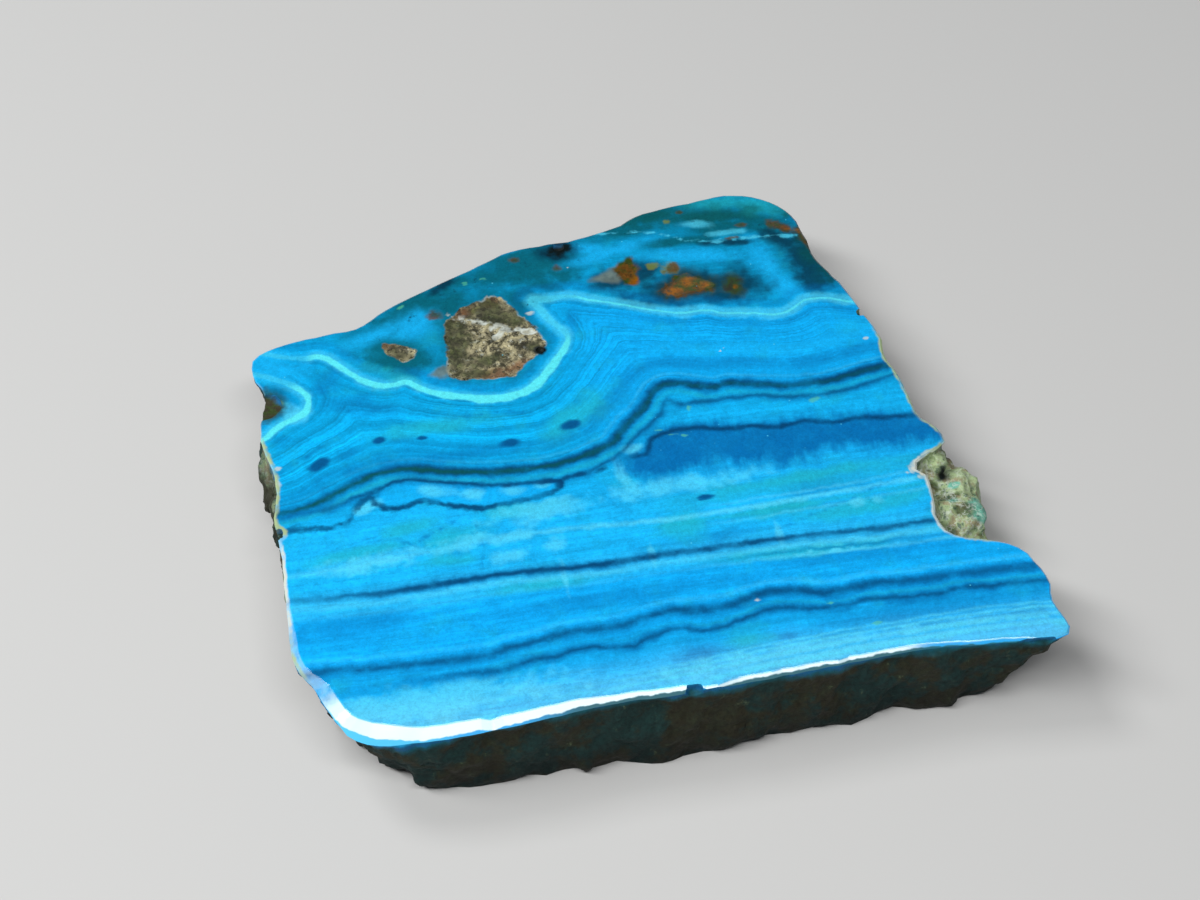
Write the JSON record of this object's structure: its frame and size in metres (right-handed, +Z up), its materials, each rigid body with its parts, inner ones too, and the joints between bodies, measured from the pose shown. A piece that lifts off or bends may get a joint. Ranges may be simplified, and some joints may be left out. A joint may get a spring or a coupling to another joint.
{
  "type": "polished chrysocolla slab",
  "caption": "Slab of banded blue chrysocolla, polished on top with a bevelled front edge, broken natural walls and a sawn flat underside, lying flat as a display specimen.",
  "frame": {"origin": "middle of the bounding box, on the sawn flat underside", "axes": "+Z up, out of the polished face; +X along the bands and the bevelled front edge, to the right; +Y to the back"},
  "size_m": [0.0506, 0.0461, 0.0065],
  "materials": {
    "stone": "polished banded blue stone with rough olive and teal matrix on the broken walls"
  },
  "bodies": {
    "root": {"chrysocolla_slab": "stone"}
  },
  "joints": []
}
